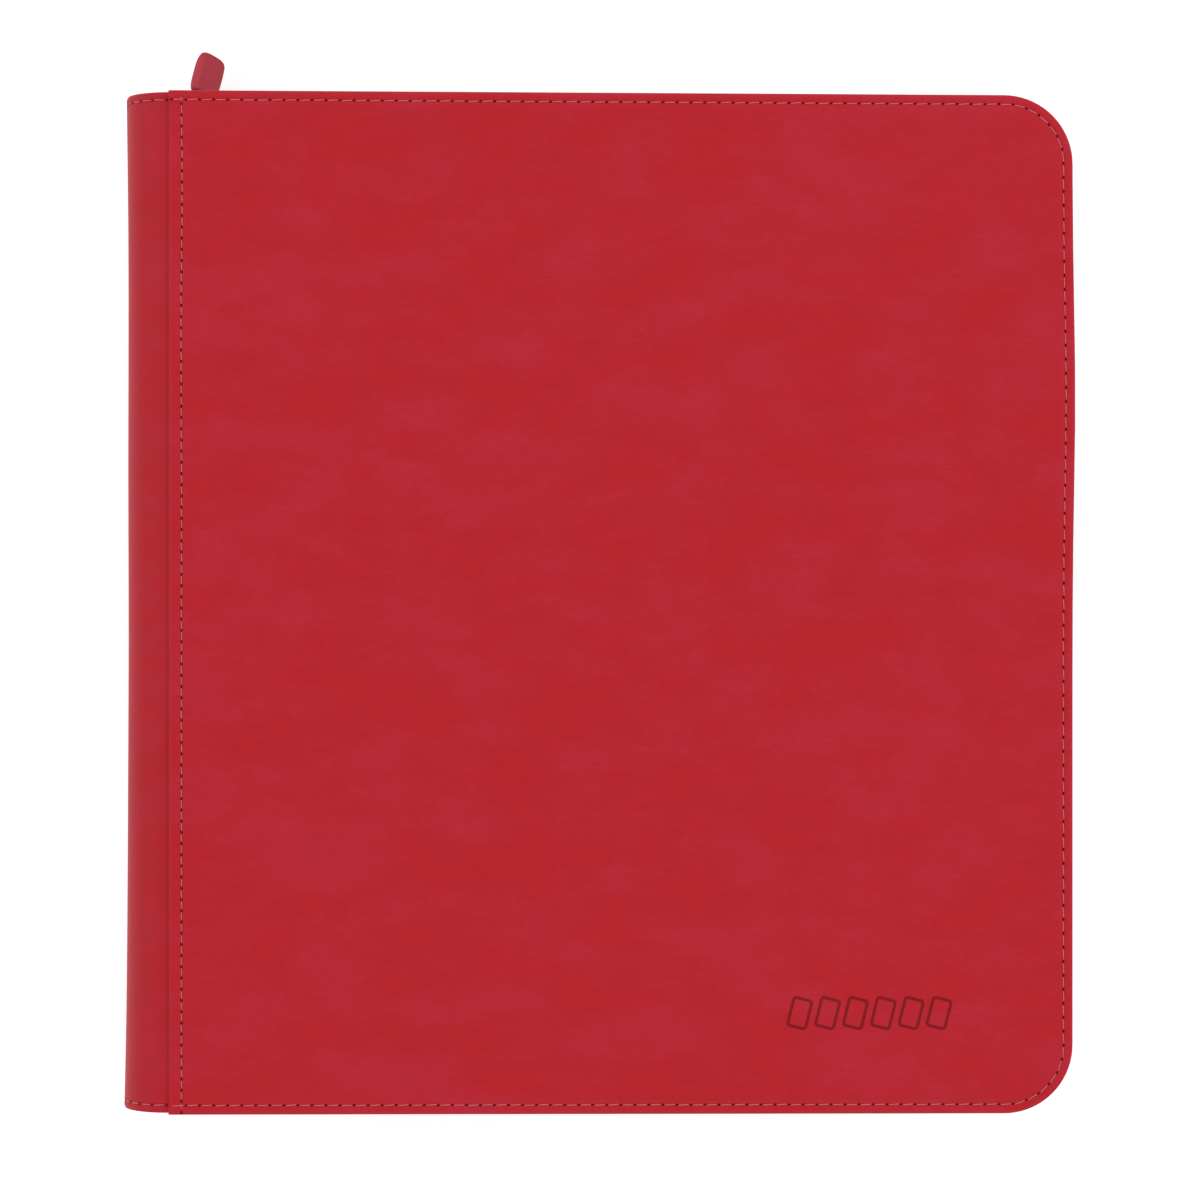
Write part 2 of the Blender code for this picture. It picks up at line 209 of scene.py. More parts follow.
@contextlib.contextmanager
def shaping(piece):
    """Edit mode on one piece."""
    focus(piece)
    bpy.ops.object.mode_set(mode="EDIT")
    bpy.ops.mesh.select_all(action="SELECT")
    yield
    bpy.ops.object.mode_set(mode="OBJECT")


def pick(kind, test):
    """Selects just the points, edges or faces of the piece in edit mode that pass the test."""
    bpy.ops.mesh.select_mode(type=kind)
    bpy.ops.mesh.select_all(action="DESELECT")
    data = bpy.context.edit_object.data
    mesh = bmesh.from_edit_mesh(data)
    for item in {"VERT": mesh.verts, "EDGE": mesh.edges, "FACE": mesh.faces}[kind]:
        if test(item):
            item.select_set(True)
    mesh.select_flush_mode()
    bmesh.update_edit_mesh(data)


def upright(edge):
    return abs(edge.verts[0].co.z - edge.verts[1].co.z) > 1e-4


def through(edge):
    return abs(edge.verts[0].co.y - edge.verts[1].co.y) > 1e-4


def middle(item):
    """Centre of an edge or a face."""
    points = [vert.co for vert in item.verts]
    return sum(points, Vector()) / len(points)


def cut(point, normal, **sides):
    """Cuts the whole piece in edit mode with a plane."""
    bpy.ops.mesh.select_all(action="SELECT")
    bpy.ops.mesh.bisect(plane_co=point, plane_no=normal, **sides)


def extrude(*move):
    """Extrudes what is selected."""
    bpy.ops.mesh.extrude_region_move(TRANSFORM_OT_translate={"value": Vector(move)})


def inset(across, deep, **how):
    """Insets the selected faces, in millimetres."""
    bpy.ops.mesh.inset(thickness=across * MM, depth=deep * MM, **how)


def round_edges(radius, segments):
    bpy.ops.mesh.bevel(offset=radius, segments=segments, affect="EDGES")


def second_finish(test):
    """Gives the faces that pass the test the second material of the piece in edit mode."""
    pick("FACE", test)
    bpy.context.object.active_material_index = 1
    bpy.ops.object.material_slot_assign()


def outward():
    """Merges doubles, then turns every face of the piece in edit mode outward."""
    bpy.ops.mesh.select_all(action="SELECT")
    bpy.ops.mesh.remove_doubles(threshold=1e-6)
    bpy.ops.mesh.normals_make_consistent(inside=False)


def smooth(piece, angle=40):
    focus(piece)
    bpy.ops.object.shade_smooth_by_angle(angle=math.radians(angle))
    return piece


def modify(piece, kind, **settings):
    """Adds a modifier and applies it."""
    focus(piece)
    modifier = piece.modifiers.new(kind.title(), kind)
    for key, value in settings.items():
        setattr(modifier, key, value)
    bpy.ops.object.modifier_apply(modifier=modifier.name)
    return piece


def drift(piece, move):
    """Moves each point of a piece by a rule on its place."""
    for vert in piece.data.vertices:
        vert.co = move(vert.co)
    piece.data.update()
    return piece


def dress(piece, *materials):
    piece.data.materials.clear()
    for material in materials:
        piece.data.materials.append(material)
    return piece


def fit(piece, body, slot, *nodes):
    """Puts a finished piece on its body, in place of the CAD nodes it stands for."""
    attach(piece, body)
    if nodes:
        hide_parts(*nodes)
    return piece


def twin(piece):
    """A copy of a piece, with its own mesh."""
    copy = piece.copy()
    copy.data = piece.data.copy()
    bpy.context.collection.objects.link(copy)
    return copy


def facing(up):
    """Turns a pattern over where it lies on a lower face."""
    return Matrix.Identity(4) if up > 0 else Matrix.Rotation(math.pi, 4, "X")


def scatter(name, pattern, places):
    """One object that holds a copy of the pattern at each place; the pattern itself is thrown away."""
    copies = []
    for place in places:
        copy = twin(pattern)
        copy.matrix_world = place
        copies.append(copy)
    focus(*copies)
    bpy.ops.object.join()
    joined = named(name)
    settle(joined)
    bpy.data.objects.remove(pattern)
    return joined


# ---- finishes


class Wire:
    """A node's output that takes part in Python sums."""

    def __init__(self, finish, socket):
        self.finish, self.socket = finish, socket

    def _math(self, operation, *terms):
        return self.finish.node("ShaderNodeMath", {"operation": operation}, dict(enumerate(terms)))

    def __add__(self, other):
        return self._math("ADD", self, other)

    __radd__ = __add__

    def __sub__(self, other):
        return self._math("SUBTRACT", self, other)

    def __rsub__(self, other):
        return self._math("SUBTRACT", other, self)

    def __mul__(self, other):
        return self._math("MULTIPLY", self, other)

    __rmul__ = __mul__

    def __truediv__(self, other):
        return self._math("DIVIDE", self, other)

    def __abs__(self):
        return self._math("ABSOLUTE", self)

    def sine(self):
        return self._math("SINE", self)

    def repeat(self, length):
        return self._math("FLOORED_MODULO", self, length)

    def most(self, other):
        return self._math("MAXIMUM", self, other)

    def ease(self, start, end):
        """From 0 at the start value to 1 at the end value, eased at both."""
        return self.finish.node(
            "ShaderNodeMapRange",
            {"interpolation_type": "SMOOTHSTEP"},
            {"Value": self, "From Min": start, "From Max": end},
        )


class Finish:
    """A node material on the principled shader, built up by Python expressions."""

    def __init__(self, name, **constants):
        self.material = bpy.data.materials.new(name)
        self.material.use_nodes = True
        self.tree = self.material.node_tree
        self.shader = self.tree.nodes["Principled BSDF"]
        for socket, value in constants.items():
            self.feed(socket.replace("_", " ").title().replace("Ior", "IOR"), value)

    def node(self, kind, settings=None, values=None, output=0):
        made = self.tree.nodes.new(kind)
        for key, value in (settings or {}).items():
            setattr(made, key, value)
        for key, value in (values or {}).items():
            self._put(made.inputs[key], value)
        return Wire(self, made.outputs[output])

    def _put(self, socket, value):
        if isinstance(value, Wire):
            self.tree.links.new(value.socket, socket)
        elif socket.type == "RGBA":
            socket.default_value = (*value, 1) if len(value) == 3 else value
        else:
            socket.default_value = value

    def feed(self, name, value):
        self._put(self.shader.inputs[name], value)

    def place(self, stretch=(1, 1, 1), turn=(0, 0, 0)):
        at = self.node("ShaderNodeTexCoord", output="Object")
        if stretch == (1, 1, 1) and turn == (0, 0, 0):
            return at
        return self.node("ShaderNodeMapping", values={"Vector": at, "Scale": stretch, "Rotation": turn})

    def axes(self, at):
        split = self.node("ShaderNodeSeparateXYZ", values={0: at})
        outputs = split.socket.node.outputs
        return [Wire(self, outputs[i]) for i in range(3)]

    def noise(self, at, scale, detail=2.0, roughness=0.5):
        values = {"Vector": at, "Scale": scale, "Detail": detail, "Roughness": roughness}
        return self.node("ShaderNodeTexNoise", values=values)

    def cells(self, at, scale, feature="F1", output="Distance"):
        return self.node(
            "ShaderNodeTexVoronoi", {"feature": feature}, {"Vector": at, "Scale": scale}, output=output
        )

    def mix(self, first, second, share):
        """Blend of two colours."""
        return self.node(
            "ShaderNodeMix", {"data_type": "RGBA"}, {"Factor": share, 6: first, 7: second}, output=2
        )

    def relief(self, height, distance, strength=1.0, under=None):
        values = {"Height": height, "Distance": distance, "Strength": strength}
        if under is not None:
            values["Normal"] = under
        return self.node("ShaderNodeBump", values=values)


def tint(colour, amount):
    return tuple(min(1.0, channel * amount) for channel in colour)


def leather_finish(name, colour, gloss=0.0):
    finish = Finish(name, specular_ior_level=0.16, sheen_weight=0.04, sheen_roughness=0.4)
    finish.feed("Sheen Tint", (1.0, 0.72, 0.74))
    at = finish.place()
    blotch = finish.noise(finish.place((0.5, 1, 1)), 62, 5.0, 0.66).ease(0.34, 0.7)
    mottle = finish.noise(at, 75, 4.0, 0.6).ease(0.3, 0.72)
    fibre = finish.noise(finish.place((0.22, 1, 1)), 1100, 3.0, 0.6)
    pebble = finish.cells(at, 1500, "SMOOTH_F1")
    pore = finish.cells(at, 900).ease(0.32, 0.0)
    pink = (colour[0] * 1.02, colour[1] * 1.4, colour[2] * 1.5)
    orange = (colour[0] * 1.0, colour[1] * 0.86, colour[2] * 0.76)
    body = finish.mix(orange, pink, blotch)
    body = finish.mix(body, tint(colour, 0.93), mottle * 0.35)
    body = finish.mix(body, tint(colour, 0.8), (1 - fibre.ease(0.25, 0.6)) * 0.34)
    body = finish.mix(body, tint(colour, 0.62), pore * 0.3)
    finish.feed("Base Color", body)
    finish.feed("Roughness", 0.5 - gloss + blotch * 0.05 + fibre * 0.08)
    grain = finish.relief(pebble * 0.8 + fibre * 0.6 - pore * 0.7, 0.00009, 0.55)
    swell = finish.relief(finish.noise(at, 22, 2.0, 0.4), 0.0016, 0.35, under=grain)
    finish.feed("Normal", swell)
    return finish.material


def thread_finish(name, colour):
    """Twisted sewing thread."""
    finish = Finish(name, specular_ior_level=0.35, sheen_weight=0.3)
    x, y, z = finish.axes(finish.place())
    twist = ((x + y) * 9500 + z * 9000).sine() * 0.5 + 0.5
    fuzz = finish.noise(finish.place(), 900, 3.0, 0.6)
    finish.feed("Base Color", finish.mix(tint(colour, 0.72), tint(colour, 1.12), twist * 0.6 + fuzz * 0.4))
    finish.feed("Roughness", 0.62 + fuzz * 0.15)
    finish.feed("Normal", finish.relief(twist + fuzz * 0.5, 0.00008, 0.6))
    return finish.material


def hole_finish(name, colour):
    """Painted shade inside a needle hole."""
    finish = Finish(name, specular_ior_level=0.1)
    speck = finish.noise(finish.place(), 2500, 2.0)
    finish.feed("Base Color", finish.mix(tint(colour, 0.12), tint(colour, 0.3), speck))
    finish.feed("Roughness", 0.85 + speck * 0.1)
    return finish.material


def woven_finish(name, colour, pitch, depth=0.00012, sheen=0.2):
    """Plain weave that runs with X and Y, and with Z on upright faces."""
    finish = Finish(name, specular_ior_level=0.2, sheen_weight=sheen)
    at = finish.place()
    x, y, z = finish.axes(at)
    turn = 2 * math.pi / pitch
    over = ((x + z) * turn).sine()
    under = ((y + z) * turn).sine()
    weave = over * under * 0.5 + 0.5
    slub = finish.noise(finish.place((1, 0.12, 1)), 700, 3.0, 0.6)
    fuzz = finish.noise(at, 40, 4.0, 0.6)
    body = finish.mix(tint(colour, 0.6), tint(colour, 1.5), weave * 0.6 + slub * 0.4)
    finish.feed("Base Color", finish.mix(body, tint(colour, 0.75), fuzz.ease(0.4, 0.75) * 0.5))
    finish.feed("Roughness", 0.78 + slub * 0.16)
    finish.feed("Normal", finish.relief(weave + slub * 0.4, depth, 0.8))
    return finish.material


def tape_finish(name, colour):
    """Herringbone tape, the twill turning at each rib."""
    finish = Finish(name, specular_ior_level=0.2, sheen_weight=0.25)
    x, y, z = finish.axes(finish.place())
    along = x + y
    rib = 2.2 * MM
    side = (z / rib).repeat(2.0) - 1
    zigzag = abs(side) * rib
    twill = ((along + zigzag) * (2 * math.pi / (0.62 * MM))).sine() * 0.5 + 0.5
    ribs = abs(side)
    fuzz = finish.noise(finish.place(), 1400, 3.0, 0.6)
    thread = twill * 0.55 + fuzz * 0.35 + ribs * 0.1
    finish.feed("Base Color", finish.mix(tint(colour, 0.55), tint(colour, 1.2), thread))
    finish.feed("Roughness", 0.78 + fuzz * 0.15)
    finish.feed("Normal", finish.relief(twill + fuzz * 0.5, 0.00012, 0.8))
    return finish.material


def moulded_finish(name, colour, roughness, gloss=0.4):
    """Moulded plastic or rubber: faint orange peel, and small scuffs that turn it duller."""
    finish = Finish(name, specular_ior_level=gloss)
    at = finish.place()
    peel = finish.noise(at, 1600, 2.0, 0.5)
    cloud = finish.noise(at, 160, 3.0, 0.6)
    scuff = finish.noise(finish.place((1, 0.15, 1), (0.4, 0.3, 0.9)), 620, 5.0, 0.7).ease(0.58, 0.74)
    body = finish.mix(tint(colour, 0.9), tint(colour, 1.1), cloud)
    finish.feed("Base Color", finish.mix(body, tint(colour, 1.35), scuff * 0.35))
    finish.feed("Roughness", roughness + cloud * 0.08 + scuff * 0.15)
    finish.feed("Normal", finish.relief(peel * 0.6 - scuff * 0.4, 0.00006, 0.6))
    return finish.material


def painted_finish(name, colour):
    """Enamelled metal, with a little wear where it rubs."""
    finish = Finish(name, specular_ior_level=0.5, coat_weight=0.35, coat_roughness=0.2)
    at = finish.place()
    cloud = finish.noise(at, 300, 4.0, 0.6)
    chip = finish.noise(at, 1900, 4.0, 0.7).ease(0.66, 0.72)
    scratch = finish.noise(finish.place((1, 0.05, 1), (0.2, 0.1, 0.5)), 2600, 3.0).ease(0.64, 0.7)
    wear_and_lit_face = chip.most(scratch * 0.6)
    enamel = finish.mix(tint(colour, 0.88), tint(colour, 1.1), cloud)
    finish.feed("Base Color", finish.mix(enamel, (0.55, 0.5, 0.48), wear_and_lit_face))
    finish.feed("Metallic", wear_and_lit_face)
    finish.feed("Roughness", 0.34 + cloud * 0.1 - wear_and_lit_face * 0.06)
    finish.feed("Normal", finish.relief(cloud * 0.5 - wear_and_lit_face, 0.00003, 0.5))
    return finish.material


# ---- covers

# Section across a cover's edge: how far in from the edge, and how deep below the outer face, in millimetres
EDGE_ROLL = (
    (0.0, 1.15),
    (0.08, 0.85),
    (0.28, 0.52),
    (0.65, 0.25),
    (1.2, 0.08),
    (1.9, 0.0),
    (2.4, 0.03),
    (2.75, 0.14),
    (2.95, 0.28),
    (3.85, 0.28),
    (4.1, 0.15),
    (4.6, 0.04),
    (6.0, 0.0),
    (11.0, 0.0),
)
GROOVE_DEPTH = 0.28 * MM
LAP_T = 0.25 * MM
# Section of the leather turned in on the inner side, out to the tape: across, then up, in millimetres
TURNED_EDGE = ((0.15, 0.15), (0.3, 0.0), (4.0, 0.0), (0.3, -0.15))
TAPER = 0.6 * MM  # how much further the head and the tail stand out at the spine than in the middle
STITCH_LIFT, HOLE_LIFT = 0.12 * MM, 0.09 * MM  # how high stitches and needle holes lie over a groove's floor
THREAD_W = 0.16 * MM
SLANT = 0.67 * MM  # how far the free edge has slipped towards the tail
SPREAD = 0.4 * MM  # how far the free edge stands out at its fullest


def ease(value, start, end):
    """0 before the start, 1 past the end, straight between them."""
    return max(0.0, min(1.0, (value - start) / (end - start)))


def bowed(point):
    """Where a cover's point goes: the free edge bows out, head and tail edges spread towards the spine."""
    leather = bpy.context.scene.binder_leather
    reach = max(0.0, (point.x - HINGE_X) / (FREE_X - HINGE_X))
    bow = math.exp(-(((point.y - 72 * MM) / (45 * MM)) ** 2))
    x = point.x + (SPREAD - leather.bow * (1 - bow)) * reach**3
    y = point.y * (1 + TAPER / HALF_HEIGHT * (1 - 2 * reach)) - SLANT * reach
    return Vector((x, y, point.z))


def cover_skin(side):
    """Leather round one cover: a bevelled plate, its edge rolled and grooved, its inner side turned in."""
    leather = bpy.context.scene.binder_leather
    low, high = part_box(f"{side}_leather")
    front = side == "front"
    up = 1 if front else -1
    outer, inner = (high.z, low.z) if front else (low.z, high.z)
    shoulder = outer - up * (EDGE_ROLL[0][1] * MM + LAP_T)
    skin = block(f"{side}_skin", (low.x, low.y, min(shoulder, inner)), (high.x, high.y, max(shoulder, inner)))
    with shaping(skin):
        pick("EDGE", lambda e: upright(e) and abs(middle(e).x - high.x) < 1e-5)
        bpy.ops.mesh.bevel(offset=CORNER_R, offset_type="OFFSET", segments=18, affect="EDGES")
        for i in range(-7, 8):
            cut((0, i * 21 * MM, 0), (0, 1, 0))
        for i in range(-5, 6):
            cut((i * 24 * MM, 0, 0), (1, 0, 0))
        # the lap stands out over the spine
        pick("FACE", lambda f: f.normal.z * up > 0.9)
        extrude(0, 0, up * LAP_T)
        pick("VERT", lambda v: abs(v.co.z - shoulder - up * LAP_T) < 1e-5 and v.co.x < low.x + 0.2 * MM)
        bpy.ops.transform.translate(value=(-leather.lap, 0, 0))
        pick("FACE", lambda f: f.normal.z * up > 0.9 and abs(middle(f).z - shoulder - up * LAP_T) < 1e-5)
        for (s0, d0), (s1, d1) in zip(EDGE_ROLL, EDGE_ROLL[1:]):
            bpy.ops.mesh.inset(thickness=(s1 - s0) * MM, depth=(d0 - d1) * MM)
        pick("FACE", lambda f: f.normal.z * up < -0.9 and abs(middle(f).z - inner) < 1e-5)
        for across, deep in TURNED_EDGE:
            inset(across, deep)
        inset(0.02, -3.9)
        # the square corners beside the spine are only just rounded
        near = low.x - leather.lap + 1e-5

        def corner(edge):
            at = middle(edge)
            return at.x < near and abs(at.y) > HALF_HEIGHT - 1e-5 and upright(edge)

        pick("EDGE", corner)
        bpy.ops.mesh.bevel(offset=0.35 * MM, segments=3, affect="EDGES", clamp_overlap=True)
        outward()

    def seam_side(point):
        """Beside the spine the groove lies further in, under its own seam."""
        inset = point.x - low.x + leather.lap
        shift = leather.spine_stitch_inset - leather.edge_stitch_inset
        share = ease(inset, 1.2 * MM, 2.9 * MM) * (1 - ease(inset, 3.9 * MM, 10.9 * MM))
        return bowed(point + Vector((shift * share, 0, 0)))

    drift(skin, seam_side)
    smooth(skin, 50)
    return skin


def rounded_run(inset, start_x):
    """Points along a cover's edge at this inset, from the tail round the free edge to the head."""
    radius = CORNER_R - inset
    cx, cy = FREE_X - CORNER_R, HALF_HEIGHT - CORNER_R
    run = [Vector((start_x, -HALF_HEIGHT + inset, 0))]
    for y, first in ((-cy, -90), (cy, 0)):
        for i in range(25):
            angle = math.radians(first + 90 * i / 24)
            run.append(Vector((cx + radius * math.cos(angle), y + radius * math.sin(angle), 0)))
    run.append(Vector((start_x, HALF_HEIGHT - inset, 0)))
    return run


def spaced(run, pitch):
    """Points and directions at about this pitch along a run of points."""
    lengths = [0.0]
    for a, b in zip(run, run[1:]):
        lengths.append(lengths[-1] + (b - a).length)
    count = round(lengths[-1] / pitch)
    step = lengths[-1] / count
    found, i = [], 0
    for n in range(count):
        reach = (n + 0.5) * step
        while lengths[i + 1] < reach:
            i += 1
        share = (reach - lengths[i]) / (lengths[i + 1] - lengths[i])
        found.append((run[i].lerp(run[i + 1], share), (run[i + 1] - run[i]).normalized()))
    return found, step


def stitch_shape(length, sides=8, rings=7):
    """One stitch along X: a slim rounded body whose ends dive into the leather."""
    deselect()
    lying = (0, math.radians(90), 0)
    bpy.ops.mesh.primitive_uv_sphere_add(segments=sides, ring_count=rings, radius=1, rotation=lying)
    stitch = named("stitch")
    stitch.scale = (THREAD_W * 0.8, THREAD_W, length / 2)
    settle(stitch)
    with shaping(stitch):
        pick("VERT", lambda v: abs(v.co.x) > length * 0.3)
        bpy.ops.transform.translate(value=(0, 0, -THREAD_W * 0.55))
        pick("VERT", lambda v: abs(v.co.x) < length * 0.2)
        bpy.ops.transform.resize(value=(1.25, 1, 1), center_override=(0, 0, 0))
        outward()
    smooth(stitch, 80)
    return stitch


def hole_shape(lip, shade):
    """One needle hole: a puckered lip of leather round a sunk middle, dark with painted shade."""
    radius, deep = 0.6 * MM, 0.2 * MM
    deselect()
    bpy.ops.mesh.primitive_cylinder_add(vertices=10, radius=radius, depth=deep, location=(0, 0, -deep / 2))
    hole = dress(named("needle_hole"), lip, shade)
    hole.scale = (1.2, 0.85, 1)
    settle(hole)
    with shaping(hole):
        pick("FACE", lambda f: f.normal.z > 0.9)
        bpy.ops.mesh.inset(thickness=radius * 0.14, depth=0.05 * MM)
        bpy.ops.mesh.inset(thickness=radius * 0.08, depth=-0.04 * MM)
        second_finish(lambda f: len(f.verts) > 4 and f.normal.z > 0.9)
    return hole


def seam_places(points, height, up, lean, rng, wander=0.06 * MM):
    """Placing of stitches on a level face, each leaning a little across its seam."""
    leather = bpy.context.scene.binder_leather
    lap_side = TOP_COVER[0].x - leather.lap + leather.spine_stitch_inset - 0.6 * MM
    rim_side = HALF_HEIGHT - leather.edge_stitch_inset + 0.6 * MM
    places = []
    for point, heading in points:
        across = Vector((-heading.y, heading.x, 0))
        at = bowed(point + across * rng.uniform(-wander, wander))
        turn = math.atan2(heading.y, heading.x) + lean + rng.uniform(-0.02, 0.02)
        # past the crossing of the two seams the leather is full height, not grooved
        rise = up * GROOVE_DEPTH if point.x < lap_side or abs(point.y) > rim_side else 0
        spot = Matrix.Translation((at.x, at.y, height + rise))
        places.append(spot @ Matrix.Rotation(turn, 4, "Z") @ facing(up))
    return places


def seam_wander(y):
    """The seam beside the spine strays a little from a straight line towards the head."""
    return 0.3 * MM * math.sin(y * 55) * max(0, y / HALF_HEIGHT)


def sew_cover(side, thread, holes):
    """Edge seam and spine seam of one cover."""
    leather = bpy.context.scene.binder_leather
    front = side == "front"
    up = 1 if front else -1
    floor = (TOP_COVER[1].z if front else LOW_COVER[0].z) - up * GROOVE_DEPTH
    rng = random.Random(11 if front else 12)
    edge = TOP_COVER[0].x - leather.lap
    edge_run = rounded_run(leather.edge_stitch_inset, edge + 1.2 * MM)
    seam_x, seam_end = edge + leather.spine_stitch_inset, HALF_HEIGHT - 0.9 * MM
    seam_run = [Vector((seam_x, y, 0)) for y in (seam_end, -seam_end)]
    for label, run, pitch, lean in (
        ("edge", edge_run, leather.edge_stitch_pitch, 0.055),
        ("seam", seam_run, leather.spine_stitch_pitch, 0.06),
    ):
        points, step = spaced(run, pitch)
        if label == "seam":
            points = [(p + Vector((seam_wander(p.y), 0, 0)), h) for p, h in points]
        places = seam_places(points, floor + up * STITCH_LIFT, up, lean, rng)
        piece = dress(scatter(f"{side}_{label}_stitches", stitch_shape(step * 0.98), places), thread)
        fit(piece, f"{side}_cover", "leatherette_red")
        gaps = [(p + h * step / 2, h) for p, h in points]
        places = seam_places(gaps, floor + up * HOLE_LIFT, up, 0, rng, 0.03 * MM)
        piece = smooth(scatter(f"{side}_{label}_holes", hole_shape(*holes), places), 60)
        fit(piece, f"{side}_cover", "leatherette_red")


# ---- spine


SPINE_TOP = 1.4 * MM  # how far the spine's leather lies below the covers' outer faces where they lap it
SPINE_SKIN_T = 1.0 * MM
HEM_INSET = 2.7 * MM


def spine_half(name, depth, thickness, half_length, from_hinge, rings):
    """Half an elliptic tube along the spine, with its open side at the hinge lines."""
    reach = HINGE_X - SPINE[0].x - depth
    rise = MID_Z - SPINE_TOP - depth
    deselect()
    bpy.ops.mesh.primitive_cylinder_add(
        vertices=72, radius=1, depth=2 * half_length, end_fill_type="NOTHING",
        location=(HINGE_X, 0, MID_Z), rotation=(math.radians(90), 0, 0),
    )
    shell = named(name)
    shell.scale = (reach, rise, 1)
    settle(shell)
    with shaping(shell):
        cut((HINGE_X - from_hinge, 0, 0), (1, 0, 0), clear_outer=True)
        for y in rings:
            cut((0, y, 0), (0, 1, 0))
        outward()
        bpy.ops.mesh.select_all(action="SELECT")
    return shell


def spine_swell(point):
    """The spine's leather: a small flare at head and tail, a groove at each hem, and a faint slackness."""
    end = abs(point.y) / HALF_HEIGHT
    hem = HALF_HEIGHT - abs(point.y)
    bulge = max(0.0, min(1.0, (HINGE_X - point.x) / (HINGE_X - SPINE[0].x)))
    toward = max(0.0, (end - 0.39) / 0.61)
    flare = (1.7 * toward**1.6 if point.y < 0 else 0.7 * toward**1.2) * MM
    groove = GROOVE_DEPTH * math.exp(-(((hem - HEM_INSET) / (0.6 * MM)) ** 4))
    lip = 0.35 * MM * math.exp(-((hem / (0.5 * MM)) ** 2))
    slack = 0.25 * MM * math.sin(point.y * 31 + 0.6) * math.sin(point.y * 13)
    out = Vector((point.x - HINGE_X, 0, point.z - MID_Z))
    grow = (flare + slack) * bulge - groove - lip
    return point + out.normalized() * grow


def spine_skin():
    hem = [HALF_HEIGHT - i * 0.35 * MM for i in range(1, 20)]
    rings = [y * sign for sign in (-1, 1) for y in hem] + [i * 12 * MM for i in range(-14, 15)]
    skin = spine_half("spine_skin", 0, SPINE_SKIN_T, HALF_HEIGHT, 0.3 * MM, rings)
    drift(skin, spine_swell)
    modify(skin, "SOLIDIFY", thickness=SPINE_SKIN_T, offset=-1)
    smooth(skin, 50)
    return skin


def spine_board():
    """Stiffener inside the spine's leather."""
    board = spine_half("spine_board", SPINE_SKIN_T + 0.4 * MM, 0.8 * MM, HALF_HEIGHT - 5 * MM, 4.0 * MM, ())
    modify(board, "SOLIDIFY", thickness=0.8 * MM, offset=-1)
    modify(board, "BEVEL", width=0.15 * MM, segments=2)
    smooth(board, 40)
    return board


def spine_cloth():
    """Lining behind the page binding, short of the hinge lines."""
    low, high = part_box("spine_lining")
    reach = Vector((0, HALF_HEIGHT - 5 * MM, 11 * MM))
    back, front = Vector((low.x + 0.2 * MM, 0, MID_Z)), Vector((high.x, 0, MID_Z))
    cloth = block("spine_cloth", back - reach, front + reach)
    modify(cloth, "BEVEL", width=0.15 * MM, segments=2)
    return smooth(cloth, 40)


def spine_end(name, sign):
    """Leather turned in across the hollow of the spine at the head or the tail."""
    reach = HINGE_X - SPINE[0].x - SPINE_SKIN_T * 0.6
    rise = MID_Z - SPINE_TOP - SPINE_SKIN_T * 0.6
    deselect()
    y = sign * (HALF_HEIGHT - 1.9 * MM)
    bpy.ops.mesh.primitive_circle_add(
        vertices=72, radius=1, fill_type="NGON",
        location=(HINGE_X, y, MID_Z), rotation=(math.radians(90), 0, 0),
    )
    panel = named(name)
    panel.scale = (reach, rise, 1)
    settle(panel)
    with shaping(panel):
        cut((HINGE_X - 0.3 * MM, 0, 0), (1, 0, 0), clear_outer=True)
        pick("FACE", lambda f: True)
        extrude(0, -sign * 2.6 * MM, 0)
        outward()
        pick("FACE", lambda f: f.normal.y * sign > 0.9)
        hub = (HINGE_X - 7 * MM, y, MID_Z)
        for share, deep in ((0.94, 0.5), (0.92, 0.4), (0.88, 0.25), (0.8, 0.15), (0.6, 0.08)):
            extrude(0, -sign * deep * MM, 0)
            bpy.ops.transform.resize(value=(share, 1, share), center_override=hub)
        outward()
    smooth(panel, 60)
    return panel


def sew_spine(thread, holes):
    """Hem seams across the spine at the head and the tail."""
    reach = HINGE_X - SPINE[0].x
    rise = MID_Z - SPINE_TOP
    rng = random.Random(13)
    angles = [math.radians(-84 + 168 * i / 400) for i in range(401)]
    stitches, gaps = [], []
    for sign in (1, -1):
        y = sign * (HALF_HEIGHT - HEM_INSET)
        run = [Vector((HINGE_X - reach * math.cos(a), y, MID_Z + rise * math.sin(a))) for a in angles]
        points, step = spaced(run, 5.2 * MM)
        for shift, lift, places in ((0, STITCH_LIFT, stitches), (step / 2, HOLE_LIFT, gaps)):
            for point, heading in points:
                at = spine_swell(point + heading * shift)
                out = Vector((point.x - HINGE_X, 0, (point.z - MID_Z) * reach**2 / rise**2)).normalized()
                turn = Matrix((heading, out.cross(heading), out)).transposed().to_4x4()
                lean = 0 if shift else -0.05 * sign + rng.uniform(-0.02, 0.02)
                places.append(Matrix.Translation(at + out * lift) @ turn @ Matrix.Rotation(lean, 4, "Z"))
    piece = dress(scatter("spine_stitches", stitch_shape(5.0 * MM), stitches), thread)
    fit_spine(piece, "leatherette_red")
    piece = smooth(scatter("spine_holes", hole_shape(*holes), gaps), 60)
    fit_spine(piece, "leatherette_red")


def fit_spine(piece, slot, *nodes):
    """Puts a piece on the spine's body, with a mesh of its own."""
    fit(piece, "spine", slot, *nodes)
    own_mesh(piece)


# ---- pull


PULL_TURN = (math.radians(-38), math.radians(-6), math.radians(18))  # droop, yaw and roll of the hanging tab


def pull_place():
    droop, yaw, roll = PULL_TURN
    turn = Matrix.Rotation(droop, 4, "X") @ Matrix.Rotation(yaw, 4, "Z") @ Matrix.Rotation(roll, 4, "Y")
    return Matrix.Translation(PULL_BAR) @ turn


